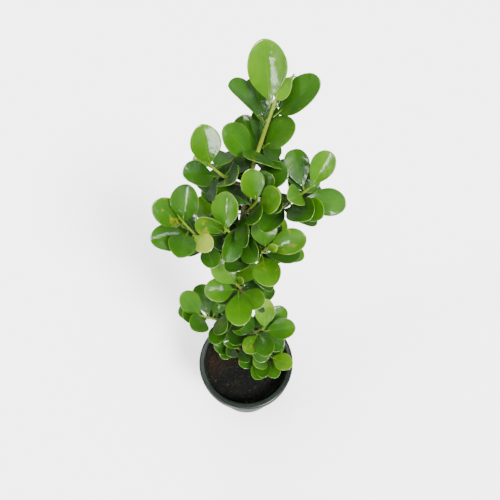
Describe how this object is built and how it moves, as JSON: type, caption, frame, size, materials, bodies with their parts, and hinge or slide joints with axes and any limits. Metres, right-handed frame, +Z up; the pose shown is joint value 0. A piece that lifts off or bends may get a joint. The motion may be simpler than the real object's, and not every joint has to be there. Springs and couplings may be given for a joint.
{
  "type": "potted ficus plant",
  "caption": "A slim, bushy ficus with rounded glossy leaves on a gently leaning trunk, growing from soil in a round tapered plastic nursery pot; a small decorative house plant.",
  "frame": {"origin": "centre of the pot's flat underside, at Z = 0, on the pot's own axis; the plant leans away from it, so it is not the middle of the whole object's box", "axes": "+Z is up, along the pot's axis and the plant's length; +Y is the plant's back, the way the trunk leans; +X is its right"},
  "size_m": [0.1674, 0.1797, 0.5588],
  "materials": {
    "pot_plastic": "glossy black-green moulded plastic with light scuffs",
    "potting_soil": "damp crumbly peat and bark",
    "bark": "smooth grey-brown bark, green towards the tips",
    "leaf": "thick, waxy, glossy mature leaf",
    "leaf_young": "bright, glossy younger leaf"
  },
  "bodies": {
    "root": {"leaf_back_left_1": "leaf_young", "leaf_back_left_2": "leaf_young", "leaf_back_left_3": "leaf", "leaf_back_low_1": "leaf_young", "leaf_back_right_1": "leaf_young", "leaf_back_right_2": "leaf_young", "leaf_back_right_3": "leaf", "leaf_crown_1": "leaf_young", "leaf_crown_2": "leaf_young", "leaf_crown_3": "leaf", "leaf_crown_4": "leaf", "leaf_crown_5": "leaf", "leaf_crown_6": "leaf", "leaf_crown_7": "leaf", "leaf_foot_left_1": "leaf_young", "leaf_foot_left_2": "leaf_young", "leaf_foot_right_1": "leaf_young", "leaf_foot_right_2": "leaf_young", "leaf_foot_right_3": "leaf", "leaf_foot_right_4": "leaf", "leaf_high_front_1": "leaf_young", "leaf_high_front_2": "leaf_young", "leaf_high_left_1": "leaf_young", "leaf_high_left_2": "leaf_young", "leaf_high_left_3": "leaf", "leaf_high_left_4": "leaf", "leaf_left_1": "leaf_young", "leaf_left_2": "leaf_young", "leaf_left_3": "leaf", "leaf_left_4": "leaf", "leaf_left_5": "leaf", "leaf_low_left_1": "leaf_young", "leaf_low_left_2": "leaf_young", "leaf_low_left_3": "leaf", "leaf_low_left_4": "leaf", "leaf_low_right_1": "leaf_young", "leaf_low_right_2": "leaf_young", "leaf_low_right_3": "leaf", "leaf_low_right_4": "leaf", "leaf_low_right_5": "leaf", "leaf_low_right_6": "leaf", "leaf_mid_left_1": "leaf_young", "leaf_mid_left_2": "leaf_young", "leaf_mid_right_1": "leaf_young", "leaf_mid_right_2": "leaf_young", "leaf_mid_right_3": "leaf", "leaf_middle_1": "leaf_young", "leaf_middle_2": "leaf_young", "leaf_middle_3": "leaf", "leaf_middle_4": "leaf", "leaf_middle_5": "leaf", "leaf_right_1": "leaf_young", "leaf_right_2": "leaf_young", "leaf_right_3": "leaf", "leaf_right_4": "leaf", "leaf_right_5": "leaf", "leaf_trunk_1": "leaf_young", "pot": "pot_plastic", "soil": "potting_soil", "stem": "bark"}
  },
  "joints": []
}
